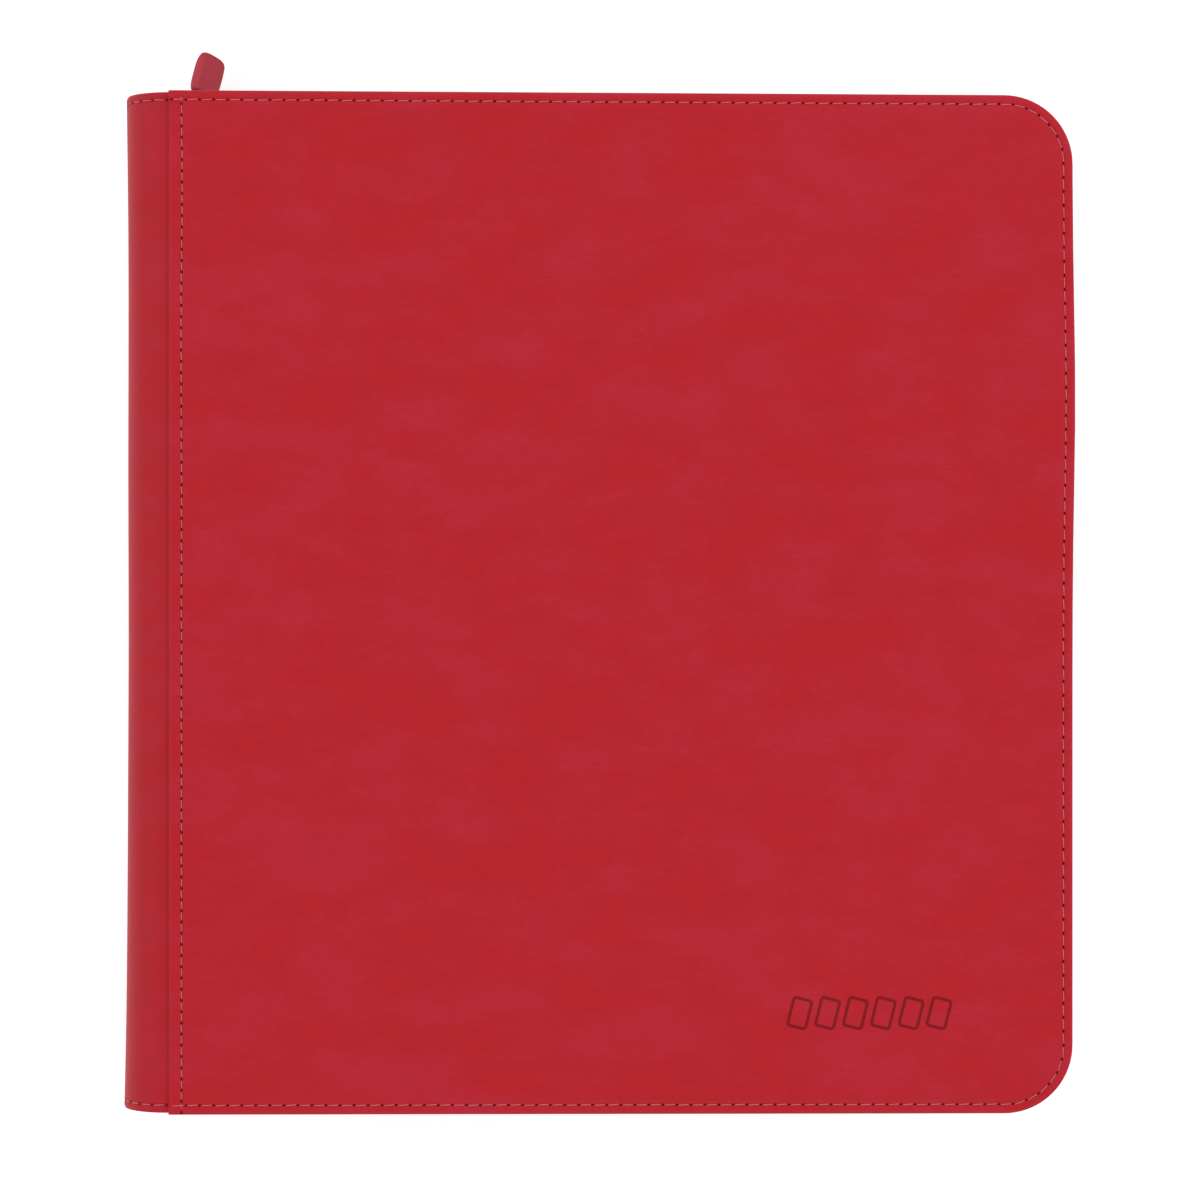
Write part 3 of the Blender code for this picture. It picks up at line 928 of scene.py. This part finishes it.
def pull_tab(*finishes):
    """Moulded tab: an outline with a sloping tip, thickened, its broad faces dished, then rounded."""
    outline = (  # across and along, in millimetres
        (-4.4, 2.2),
        (-1.2, 2.0),
        (2.4, 2.2),
        (4.4, 4.6),
        (4.4, 11.0),
        (4.4, 16.0),
        (4.1, 18.2),
        (2.6, 19.9),
        (-0.2, 20.9),
        (-2.5, 21.6),
        (-4.2, 21.5),
        (-5.4, 20.8),
        (-6.0, 19.4),
        (-6.2, 16.0),
        (-6.2, 10.0),
        (-6.1, 4.6),
    )
    half = 1.7 * MM
    deselect()
    bpy.ops.mesh.primitive_circle_add(vertices=len(outline), radius=5 * MM, fill_type="NGON")
    tab = named("pull_grip")
    for vert, (x, y) in zip(tab.data.vertices, outline):
        vert.co = Vector((x * MM, y * MM, -half))
    dress(tab, *finishes)
    with shaping(tab):
        extrude(0, 0, 2 * half)
        outward()
        pick("FACE", lambda f: len(f.verts) > 4)
        inset(0.9, 0)

        # a broad chamfer down the left side of the upper face
        def inner(vert):
            return vert.co.z > 0 and all(abs(face.normal.z) > 0.5 for face in vert.link_faces)

        for test, shift in (
            (lambda v: v.co.x < -4.8 * MM and 3 * MM < v.co.y < 19.3 * MM, 1.9),
            (lambda v: v.co.x < -3.6 * MM and v.co.y > 19.3 * MM, 0.5),
        ):
            pick("VERT", lambda v: inner(v) and test(v))
            bpy.ops.transform.translate(value=(shift * MM, 0, 0))
        pick("VERT", lambda v: v.co.z > 0 and v.co.x < -5.5 * MM)
        bpy.ops.transform.translate(value=(0, 0, -1.5 * MM))
        # the chamfer's faces, picked by the way they face, take the second, lighter rubber: a painted
        # highlight on the side that faces the light
        second_finish(lambda f: 0.3 < f.normal.z < 0.97 and f.normal.x < -0.2)

        def ridge(edge):
            spots = [vert.co / MM for vert in edge.verts]
            return middle(edge).z > 0 and all(-4.4 < at.x < -2.5 and 3 < at.y < 18 for at in spots)

        pick("EDGE", ridge)
        bpy.ops.transform.edge_crease(value=0.7)
        pick("FACE", lambda f: len(f.verts) > 4)
        inset(0.7, -0.1)
        bpy.ops.mesh.poke()
    modify(tab, "SUBSURF", levels=3, render_levels=3)
    tab.matrix_world = pull_place()
    settle(tab)
    smooth(tab, 80)
    return tab


# ---- hinge gussets

# Sections at the front hinge line, in millimetres from it: across, then up
OUTER_GUSSET = ((-1.4, -1.75), (-0.6, -1.65), (0.2, -1.6), (0.8, -1.55), (1.6, -1.5))
INNER_GUSSET = ((-1.6, -5.75), (-0.9, -5.55), (0, -5.45), (1.5, -5.42), (3.2, -5.4), (4.6, -5.2))


def gusset(name, side, section, thickness, half_length):
    """Strip along a hinge line, extruded step by step through its section."""
    hinge, up = (FRONT_HINGE, 1) if side == "front" else (BACK_HINGE, -1)
    points = [Vector((hinge.x + x * MM, 0, hinge.z + up * z * MM)) for x, z in section]
    deselect()
    bpy.ops.mesh.primitive_plane_add(size=1)
    strip = named(name)
    for vert, (i, end) in zip(strip.data.vertices, ((0, -1), (1, -1), (0, 1), (1, 1))):
        vert.co = (points[i].x, end * half_length, points[i].z)
    with shaping(strip):
        for a, b in zip(points[1:], points[2:]):
            pick("EDGE", lambda e: all(abs(v.co.x - a.x) < 1e-6 for v in e.verts))
            extrude(*(b - a))
        for i in range(-7, 8):
            cut((0, i * 21 * MM, 0), (0, 1, 0))
        bpy.ops.mesh.select_all(action="SELECT")
        bpy.ops.mesh.subdivide(number_cuts=1)
    modify(strip, "SOLIDIFY", thickness=thickness, offset=0)
    with shaping(strip):
        outward()
    smooth(strip, 60)
    return strip, points


def bridge_hinge(strip):
    """Takes the strip off any parent, with its place kept in its mesh."""
    strip.parent = None
    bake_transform(strip)


# ---- zipper


TEETH = {side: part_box(f"{side}_zip_teeth") for side in SIDES}
ZIP_INSET = HALF_HEIGHT - (TEETH["back"][1].y - 1.2 * MM)
ENMESH = 0.6 * MM  # how far each row reaches past mid-height


def tooth_shape(height):
    """One tooth, standing on its tape: narrow waist, swollen head and rounded edges."""
    tooth = block("tooth", (-0.36 * MM, -1.1 * MM, 0), (0.36 * MM, 1.1 * MM, height))
    with shaping(tooth):
        cut((0, 0, height * 0.62), (0, 0, 1))
        pick("VERT", lambda v: v.co.z < 1e-6)
        bpy.ops.transform.resize(value=(0.8, 0.9, 1), center_override=(0, 0, 0))
        pick("FACE", lambda f: f.normal.z > 0.9)
        inset(0.16, 0.14)
        outward()
    smooth(tooth, 50)
    return tooth


def tooth_row(side):
    """Teeth of one tape; the two rows are half a pitch apart, so that they mesh."""
    low, high = TEETH[side]
    up = 1 if side == "back" else -1
    foot = low.z if side == "back" else high.z
    reach = abs(MID_Z - foot) + ENMESH - 0.14 * MM
    run = rounded_run(ZIP_INSET, low.x)
    points, step = spaced(run, bpy.context.scene.binder_fittings.tooth_pitch)
    shift = step / 4 * up
    places = []
    for point, heading in points:
        at = point + heading * shift
        turn = Matrix.Rotation(math.atan2(heading.y, heading.x), 4, "Z")
        places.append(Matrix.Translation((at.x, at.y, foot)) @ turn @ facing(up))
    return scatter(f"{side}_teeth", tooth_shape(reach), places)


def tape_seam(side, thread):
    """Row of small stitches that holds the teeth to the tape."""
    low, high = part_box(f"{side}_zip_tape")
    up = 1 if side == "front" else -1
    z = (low.z if side == "front" else high.z) + up * 0.9 * MM
    run = rounded_run(ZIP_INSET - 0.42 * MM, low.x)
    points, step = spaced(run, 2.8 * MM)
    above = Vector((0, 0, 1))
    places = []
    for point, heading in points:
        turn = Matrix((heading, above, heading.cross(above))).transposed().to_4x4()
        places.append(Matrix.Translation((point.x, point.y, z)) @ turn)
    return dress(scatter(f"{side}_tape_stitches", stitch_shape(step * 0.85, 6, 5), places), thread)


def slider_case():
    """Slider: two shaped plates with turned-in lips, joined by a wedge."""
    low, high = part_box("slider_body")
    mid = (low + high) / 2
    plates = []
    for sign, label in ((1, "outer"), (-1, "inner")):
        face = high.y if sign > 0 else low.y
        back = face - sign * 0.9 * MM
        plate = block(f"slider_{label}", (low.x, min(face, back), low.z), (high.x, max(face, back), high.z))
        with shaping(plate):
            cut((mid.x, 0, 0), (1, 0, 0))
            pick("VERT", lambda v: v.co.x > high.x - 1e-5)
            bpy.ops.transform.resize(value=(1, 1, 0.86), center_override=mid)
            pick("EDGE", lambda e: through(e) and abs(middle(e).x - mid.x) > 2 * MM)
            round_edges(1.3 * MM, 5)
            pick("FACE", lambda f: f.normal.y * sign > 0.9)
            inset(0.3, -0.05)
            inset(0.8, 0.05)
            # lips along the two long edges
            pick("FACE", lambda f: f.normal.y * sign < -0.9)
            inset(0.55, 0)
            pick("FACE", lambda f: f.normal.y * sign < -0.9 and middle(f).z < mid.z - 3.2 * MM)
            extrude(0, -sign * 0.7 * MM, 0)
            outward()
        modify(plate, "BEVEL", width=0.12 * MM, segments=2, limit_method="ANGLE")
        plates.append(plate)
    half = 0.5 * MM
    wedge = block(
        "slider_post", (low.x + 0.6 * MM, low.y + half, MID_Z - half), (mid.x, high.y - half, MID_Z + half)
    )
    with shaping(wedge):
        pick("VERT", lambda v: v.co.x > mid.x - 1e-5)
        bpy.ops.transform.resize(value=(1, 1, 0.35), center_override=(mid.x, mid.y, MID_Z))
        pick("EDGE", through)
        round_edges(0.15 * MM, 2)
    focus(*plates, wedge)
    bpy.ops.object.join()
    case = named("slider_case")
    smooth(case, 45)
    return case


# ---- pages


PAGES = sorted(n for n in frame["nodes"] if n.startswith("page_") and n != "page_binding")
WELD_W = 1.6 * MM
OPEN_EDGE = 4.5 * MM


def page_sheet():
    """Pocket page: a backing sheet with a raised pocket of film in each cell of its welds, on both faces."""
    setup = bpy.context.scene.binder_pages
    low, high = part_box(PAGES[0])
    mid = (low.z + high.z) / 2
    core = 0.14 * MM
    sheet = block("page", (low.x, low.y, mid - core), (high.x, high.y, mid + core))
    wide = (high.x - low.x) / setup.columns
    tall = (high.y - low.y) / setup.rows
    with shaping(sheet):
        for column in range(setup.columns):
            if column:
                cut((low.x + column * wide, 0, 0), (1, 0, 0))
            cut((low.x + column * wide + OPEN_EDGE, 0, 0), (1, 0, 0))
        for row in range(1, setup.rows):
            cut((0, low.y + row * tall, 0), (0, 1, 0))
        pick("FACE", lambda f: abs(f.normal.z) > 0.9 and f.calc_area() > wide * tall * 0.5)
        bpy.ops.mesh.inset(thickness=WELD_W, depth=0, use_individual=True)
        inset(0.5, 0.09, use_individual=True)
        inset(2.5, 0.06, use_individual=True)
        outer = ((low.x, high.x), (low.y, high.y))

        def corner(edge):
            at = middle(edge)
            return upright(edge) and all(min(abs(at[i] - side) for side in outer[i]) < 1e-5 for i in (0, 1))

        pick("EDGE", corner)
        round_edges(1.3 * MM, 4)
        outward()
    smooth(sheet, 30)
    return sheet


def page_margin(number, node):
    """Strip between the binding's fin and the page."""
    low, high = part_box(node)
    axis = next(j for j in frame["joints"] if j["child"] == node)["pos_m"]
    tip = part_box("page_binding")[1].x
    mid = (low.z + high.z) / 2
    start, end = tip - 1.5 * MM, low.x + 1.2 * MM
    half = 0.22 * MM
    strip = block(f"page_margin_{number:02d}", (start, low.y, mid - half), (end, high.y, mid + half))
    with shaping(strip):
        for i in range(1, 13):  # close together near the fin, where a page would bend
            cut((start + i * 0.35 * MM, 0, 0), (1, 0, 0))
        for y in (-0.5, 0, 0.5):
            cut((0, high.y * y, 0), (0, 1, 0))
        outward()
    smooth(strip, 30)
    return strip, Vector((axis[0] - 0.6 * MM, 0, mid)), Vector((axis[0] + 1.6 * MM, 0, mid))


def film_finish(name, colour):
    """Clear film over a black backing: glossy, gently rippled, with a fine embossing behind it."""
    finish = Finish(name, specular_ior_level=0.5, coat_weight=0.5, coat_roughness=0.12)
    at = finish.place()
    ripple = finish.noise(finish.place((1, 0.6, 1)), 55, 3.0, 0.5)
    emboss = finish.cells(at, 1500).ease(0.1, 0.5)
    scuff = finish.noise(finish.place((0.2, 1, 1), (0, 0, 0.5)), 500, 5.0, 0.7).ease(0.6, 0.75)
    body = finish.mix(tint(colour, 0.8), tint(colour, 1.6), emboss * 0.5 + ripple * 0.3)
    finish.feed("Base Color", finish.mix(body, (0.12, 0.12, 0.125), scuff * 0.25))
    finish.feed("Roughness", 0.2 + ripple * 0.08 + scuff * 0.25)
    swell = finish.relief(ripple, 0.0012, 0.35)
    finish.feed("Normal", finish.relief(emboss, 0.00003, 0.4, under=swell))
    return finish.material


# ---- debossed cards


def deboss(skin, material):
    """Presses a row of plain card outlines into the front cover."""
    leather = bpy.context.scene.binder_leather
    wide, tall, ring, pitch, count = 7.4 * MM, 11 * MM, 1.0 * MM, 9.7 * MM, 6
    centre = Vector((FREE_X - 71.5 * MM, -HALF_HEIGHT + 35 * MM, TOP_COVER[1].z))
    rings = []
    for i in range(count):
        shapes = []
        for label, less in (("outer", 0), ("inner", ring)):
            half = Vector((wide / 2 - less, tall / 2 - less, leather.deboss + (0.4 * MM if less else 0)))
            card = block(f"card_{label}", -half, half)
            with shaping(card):
                pick("EDGE", upright)
                round_edges(1.5 * MM - less * 0.8, 4)
            shapes.append(card)
        outer, inner = shapes
        modify(outer, "BOOLEAN", operation="DIFFERENCE", object=inner, solver="EXACT")
        bpy.data.objects.remove(inner)
        outer.location = centre + Vector(((i - (count - 1) / 2) * pitch, 0, 0))
        outer.rotation_euler.z = math.radians(-14)
        rings.append(settle(outer))
    focus(*rings)
    bpy.ops.object.join()
    stamp = dress(named("stamp"), material)
    modify(skin, "BOOLEAN", operation="DIFFERENCE", object=stamp, solver="EXACT", material_mode="TRANSFER")
    bpy.data.objects.remove(stamp)
    smooth(skin, 50)


# ---- operators


def shared(name, maker, *facts):
    """The finish of this name, made on its first use."""
    return bpy.data.materials.get(name) or maker(name, *facts)


def plain_leather():
    return shared("leather", leather_finish, bpy.context.scene.binder_leather.colour)


def sewing_thread():
    return shared("thread", thread_finish, bpy.context.scene.binder_leather.thread_colour)


def lining_cloth():
    return shared("lining", woven_finish, bpy.context.scene.binder_fittings.lining, 0.7 * MM)


def greyboard():
    return shared("greyboard", moulded_finish, (0.26, 0.23, 0.2), 0.85, 0.15)


def slider_enamel():
    return shared("slider_enamel", painted_finish, bpy.context.scene.binder_fittings.enamel)


class BINDER_OT_covers(bpy.types.Operator):
    """Makes the leather skins of both covers, and their seams"""

    bl_idname = "binder.covers"
    bl_label = "Covers"

    def execute(self, context):
        leather = context.scene.binder_leather
        for side in SIDES:
            skin = dress(cover_skin(side), plain_leather())
            if side == "front":
                deboss(skin, shared("pressed_leather", leather_finish, tint(leather.colour, 0.56)))
            fit(skin, f"{side}_cover", "leatherette_red", f"{side}_leather")
        return {"FINISHED"}


class BINDER_OT_stitching(bpy.types.Operator):
    """Sews the covers and the spine"""

    bl_idname = "binder.stitching"
    bl_label = "Stitching"

    def execute(self, context):
        shade = shared("needle_hole", hole_finish, context.scene.binder_leather.colour)
        holes = (plain_leather(), shade)
        for side in SIDES:
            sew_cover(side, sewing_thread(), holes)
        sew_spine(sewing_thread(), holes)
        return {"FINISHED"}


class BINDER_OT_spine(bpy.types.Operator):
    """Makes the rounded leather of the spine"""

    bl_idname = "binder.spine"
    bl_label = "Spine"

    def execute(self, context):
        # the spine's leather is the cover leather made 0.94 times as dark: painted shade on the curved spine
        covering_with_painted_shade = shared("spine_leather", leather_finish, tint(context.scene.binder_leather.colour, 0.94))
        fit_spine(dress(spine_skin(), covering_with_painted_shade), "leatherette_red", "spine_leather")
        fit_spine(dress(spine_board(), greyboard()), "greyboard", "spine_stiffener")
        fit_spine(dress(spine_cloth(), lining_cloth()), "lining_black", "spine_lining")
        for name, sign in (("spine_head_end", 1), ("spine_tail_end", -1)):
            fit_spine(dress(spine_end(name, sign), covering_with_painted_shade), "leatherette_red")
        return {"FINISHED"}


class BINDER_OT_pull(bpy.types.Operator):
    """Makes the zipper's rubber pull"""

    bl_idname = "binder.pull"
    bl_label = "Pull"

    def execute(self, context):
        fittings = context.scene.binder_fittings
        rubber = shared("pull_rubber_red", moulded_finish, fittings.rubber, 0.5, 0.22)
        # a lighter copy of the rubber for the tab's chamfer: painted highlight, not wear
        wear_and_lit_face = shared("pull_rubber_worn", moulded_finish, tint(fittings.rubber, 1.18), 0.6, 0.22)
        fit(pull_tab(rubber, wear_and_lit_face), "pull", "pull_rubber", "pull_tab")
        return {"FINISHED"}


class BINDER_OT_hinges(bpy.types.Operator):
    """Makes the leather and the lining that bend at the two hinge lines"""

    bl_idname = "binder.hinges"
    bl_label = "Hinge gussets"

    def execute(self, context):
        outer = ("leather", OUTER_GUSSET, 0.5, 0.6, plain_leather(), "leatherette_red")
        inner = ("lining", INNER_GUSSET, 0.4, 9, lining_cloth(), "lining_black")
        for side in SIDES:
            for label, section, thick, short, finish, slot in (outer, inner):  # both lengths in millimetres
                half_length = HALF_HEIGHT - short * MM
                strip, points = gusset(f"{side}_hinge_{label}", side, section, thick * MM, half_length)
                dress(strip, finish)
                bridge_hinge(strip)
        return {"FINISHED"}


class BINDER_OT_zipper(bpy.types.Operator):
    """Makes the two rows of teeth, the seams on their tapes and the slider"""

    bl_idname = "binder.zipper"
    bl_label = "Zipper"

    def execute(self, context):
        fittings = context.scene.binder_fittings
        plastic = shared("zip_teeth", moulded_finish, fittings.teeth, 0.35)
        for side in SIDES:
            fit(dress(tooth_row(side), plastic), f"{side}_cover", "zip_teeth_red", f"{side}_zip_teeth")
            fit(tape_seam(side, sewing_thread()), f"{side}_cover", "zip_tape_red")
        case = dress(slider_case(), slider_enamel())
        fit(case, "slider", "slider_red", "slider_body")
        return {"FINISHED"}


class BINDER_OT_pages(bpy.types.Operator):
    """Makes the pocket pages and the margins that they turn on"""

    bl_idname = "binder.pages"
    bl_label = "Pages"

    def execute(self, context):
        film = shared("page_film", film_finish, context.scene.binder_fittings.film)
        first = page_sheet()
        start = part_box(PAGES[0])[0].z
        for number, node in enumerate(PAGES, 1):
            page = twin(first)
            page.name = page.data.name = f"pocket_page_{number:02d}"
            page.location.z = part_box(node)[0].z - start
            dress(settle(page), film)
            fit(page, node, "page_film", node)
            strip, near, far = page_margin(number, node)
            dress(strip, film)
            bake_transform(strip)
        bpy.data.objects.remove(first)
        return {"FINISHED"}


class BINDER_OT_carried(bpy.types.Operator):
    """Gives the CAD pieces that stay in view their finishes"""

    bl_idname = "binder.carried"
    bl_label = "Boards, linings and fittings"

    def execute(self, context):
        finishes = {  # by the end of the CAD nodes' names
            "foam": shared("foam", woven_finish, (0.3, 0.3, 0.31), 0.9 * MM),
            "board": greyboard(),
            "lining": lining_cloth(),
            "binding": lining_cloth(),
            "zip_tape": shared("zip_tape", tape_finish, context.scene.binder_fittings.tape),
            "tab": plain_leather(),
            "stop": slider_enamel(),
            "bail": slider_enamel(),
            "hook": slider_enamel(),
        }
        for name, node in frame["nodes"].items():
            for ending, material in finishes.items():
                if name.endswith(ending) and name != "pull_tab":
                    dress(node, material)
        return {"FINISHED"}


class BINDER_OT_stage(bpy.types.Operator):
    """Sets the floor, the soft lights and the camera"""

    bl_idname = "binder.stage"
    bl_label = "Stage"

    def execute(self, context):
        stage = context.scene.binder_stage
        deselect()
        bpy.ops.mesh.primitive_plane_add(size=stage.floor_size, location=(0, 0, -0.2 * MM))
        floor = named("floor")
        settle(floor)
        finish = Finish("white_floor", specular_ior_level=0.1, roughness=0.8)
        cloud = finish.noise(finish.place(), 3, 2.0)
        finish.feed("Base Color", finish.mix((0.60, 0.60, 0.605), (0.64, 0.64, 0.645), cloud))
        finish.feed("Emission Color", (1, 1, 1))
        finish.feed("Emission Strength", 0.6)
        dress(floor, finish.material)
        for i, (x, y) in enumerate(((-1.5, 0.25), (1.5, 0.25), (0.1, 1.5), (0.1, -1.5))):
            bpy.ops.object.light_add(type="AREA", location=(x, y, 1.15))
            light = bpy.context.active_object
            light.name = f"soft_light_{i + 1}"
            light.data.shape = "RECTANGLE"
            light.data.size, light.data.size_y = 1.8, 0.9
            light.data.energy = stage.light_power
            light.rotation_euler = (-light.location).to_track_quat("-Z", "Y").to_euler()
        world = bpy.data.worlds.new("soft_room")
        context.scene.world = world
        world.use_nodes = True
        world.node_tree.nodes["Background"].inputs["Color"].default_value = (1, 1, 1, 1)
        world.node_tree.nodes["Background"].inputs["Strength"].default_value = 0.5
        bpy.ops.object.camera_add(location=(0.7 * MM, 0.85 * MM, stage.camera_height))
        camera = bpy.context.active_object
        camera.name = "camera"
        camera.data.lens = stage.lens
        camera.data.sensor_width = 36
        camera.data.clip_start, camera.data.clip_end = 0.01, 200
        context.scene.camera = camera
        context.scene.view_settings.view_transform = "Standard"
        return {"FINISHED"}


GROUPS = {
    "binder_leather": BinderLeather,
    "binder_fittings": BinderFittings,
    "binder_pages": BinderPages,
    "binder_stage": BinderStage,
}
STEPS = ("covers", "spine", "hinges", "stitching", "zipper", "pull", "pages", "carried", "stage")


class BINDER_PT_panel(bpy.types.Panel):
    bl_label = "Card Binder"
    bl_space_type = "VIEW_3D"
    bl_region_type = "UI"
    bl_category = "Binder"

    def draw(self, context):
        for group in GROUPS:
            values = getattr(context.scene, group)
            for name in values.__annotations__:
                self.layout.prop(values, name)
        for step in STEPS:
            self.layout.operator(f"binder.{step}")


CLASSES = (
    *GROUPS.values(),
    BINDER_OT_covers,
    BINDER_OT_spine,
    BINDER_OT_stitching,
    BINDER_OT_hinges,
    BINDER_OT_zipper,
    BINDER_OT_pull,
    BINDER_OT_pages,
    BINDER_OT_carried,
    BINDER_OT_stage,
    BINDER_PT_panel,
)


def register():
    for cls in CLASSES:
        bpy.utils.register_class(cls)
    for name, group in GROUPS.items():
        setattr(bpy.types.Scene, name, PointerProperty(type=group))


def unregister():
    for name in reversed(GROUPS):
        delattr(bpy.types.Scene, name)
    for cls in reversed(CLASSES):
        bpy.utils.unregister_class(cls)


def main():
    register()
    for step in STEPS:
        getattr(bpy.ops.binder, step)()
    deselect()


if __name__ == "__main__":
    main()
